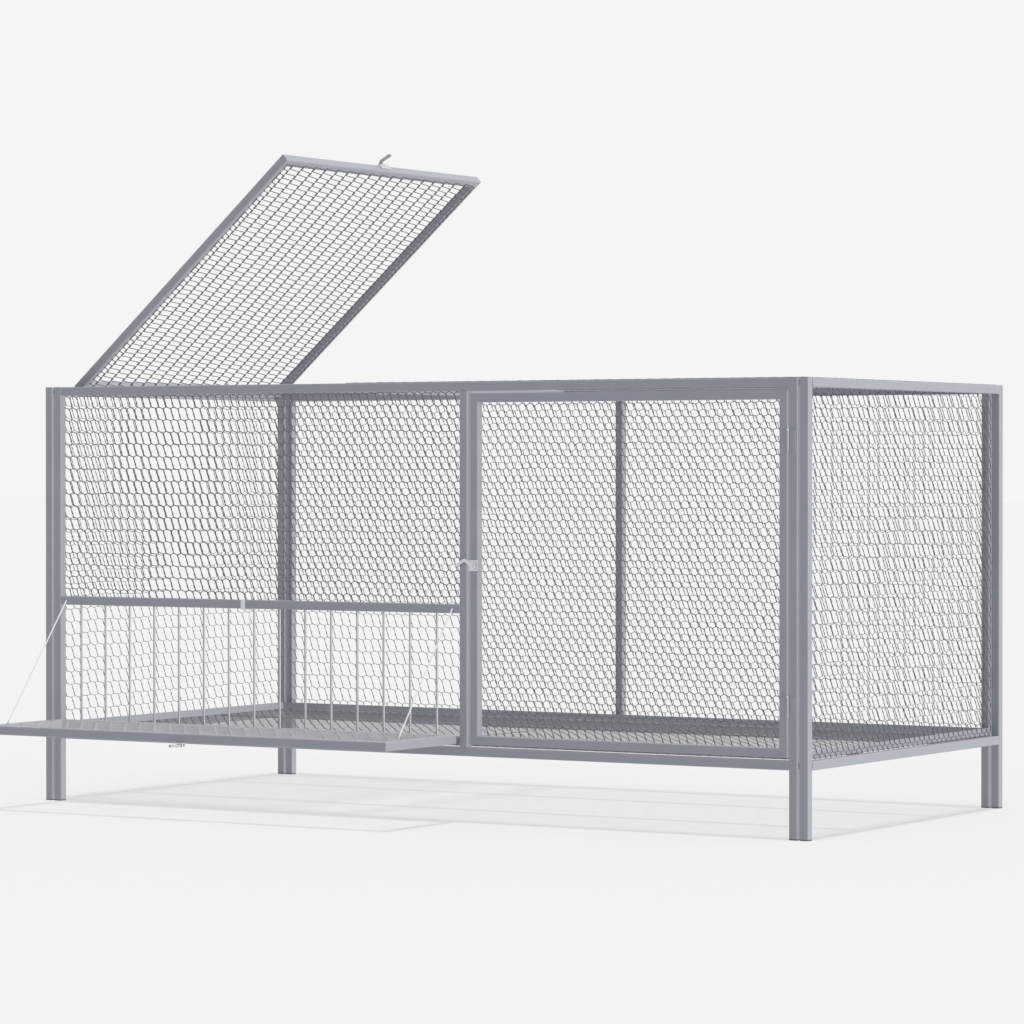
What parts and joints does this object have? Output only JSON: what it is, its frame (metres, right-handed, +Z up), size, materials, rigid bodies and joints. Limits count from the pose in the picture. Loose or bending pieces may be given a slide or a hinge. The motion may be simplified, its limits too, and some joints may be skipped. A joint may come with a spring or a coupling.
{
  "type": "chicken cage",
  "caption": "Low cage of square tube and hexagonal netting on short legs, with a hinged door, a raised roof lid and a let-down flap before a barred feeder opening.",
  "frame": {"origin": "on the ground at the middle of the legs", "axes": "+X along the cage's length towards the door end, -Y to the front, +Z up"},
  "size_m": [1.5, 0.9641, 1.1361],
  "materials": {
    "tube": "grey paint over square steel tube",
    "net_wire": "galvanised netting wire",
    "bar": "galvanised round bar",
    "fitting": "bright zinc plate",
    "stay": "pale grey cord",
    "plug": "moulded grey plastic"
  },
  "bodies": {
    "cage": {"back_bottom_rail": "tube", "back_left_upright": "tube", "back_middle_post": "tube", "back_net_left": "net_wire", "back_net_right": "net_wire", "back_right_upright": "tube", "back_top_rail": "tube", "feeder_bars": "bar", "feeder_hook_clip": "fitting", "feeder_rail": "tube", "flap_stays": "stay", "floor_bearers": "tube", "floor_edge_frame": "tube", "floor_net_left": "net_wire", "floor_net_right": "net_wire", "foot_plugs": "plug", "front_bottom_rail": "tube", "front_left_upright": "tube", "front_middle_post": "tube", "front_net": "net_wire", "front_right_upright": "tube", "front_top_rail": "tube", "hatch_side_rails": "tube", "hinge_fixed_leaves": "tube", "hinge_pins": "fitting", "left_back_post": "tube", "left_bottom_rail": "tube", "left_front_post": "tube", "left_net": "net_wire", "left_top_rail": "tube", "right_back_post": "tube", "right_bottom_rail": "tube", "right_front_post": "tube", "right_net": "net_wire", "right_top_rail": "tube", "roof_cross_rail": "tube", "roof_net": "net_wire"},
    "door": {"door_bottom_rail": "tube", "door_top_rail": "tube", "door_left_stile": "tube", "door_right_stile": "tube", "door_net": "net_wire", "door_hinge_leaves": "tube", "door_latch_plate": "fitting"},
    "door_lever": {"door_latch_lever": "fitting"},
    "lid": {"lid_hinge_rail": "tube", "lid_free_rail": "tube", "lid_side_rails": "tube", "lid_net": "net_wire", "lid_hinge_leaves": "tube", "lid_latch_plate": "fitting"},
    "lid_lever": {"lid_latch_lever": "fitting"},
    "flap": {"flap_hinge_rail": "tube", "flap_outer_rail": "tube", "flap_side_rails": "tube", "flap_net": "net_wire", "flap_hinge_leaves": "tube", "flap_latch_plate": "fitting"},
    "flap_lever": {"flap_latch_lever": "fitting"},
    "hook": {"feeder_hook": "fitting"}
  },
  "joints": [
    {"name": "door_swing", "type": "hinge", "parent": "cage", "child": "door", "pos_m": [0.71485, -0.36515, 0.4], "axis": [0, 0, 1], "range_deg": [0, 165]},
    {"name": "door_lever_turn", "type": "hinge", "parent": "door", "child": "door_lever", "pos_m": [0.1355, -0.362, 0.422], "axis": [0, -1, 0], "range_deg": [-90, 90]},
    {"name": "lid_swing", "type": "hinge", "parent": "cage", "child": "lid", "pos_m": [-0.731, 0, 0.72615], "axis": [0, -1, 0], "range_deg": [-41.1, 138.9]},
    {"name": "lid_lever_turn", "type": "hinge", "parent": "lid", "child": "lid_lever", "pos_m": [-0.28546, 0, 1.11064], "axis": [-0.6574, 0, 0.7536], "range_deg": [-90, 90]},
    {"name": "flap_swing", "type": "hinge", "parent": "cage", "child": "flap", "pos_m": [-0.304, -0.36515, 0.126], "axis": [-1, 0, 0], "range_deg": [0, 90], "deforming": ["flap_stays"]},
    {"name": "flap_lever_turn", "type": "hinge", "parent": "flap", "child": "flap_lever", "pos_m": [-0.30425, -0.57065, 0.12865], "axis": [0, 0, -1], "range_deg": [-90, 90]},
    {"name": "hook_swing", "type": "hinge", "parent": "cage", "child": "hook", "pos_m": [-0.326, -0.3437, 0.34675], "axis": [0, 1, 0], "range_deg": [-5, 80]}
  ]
}
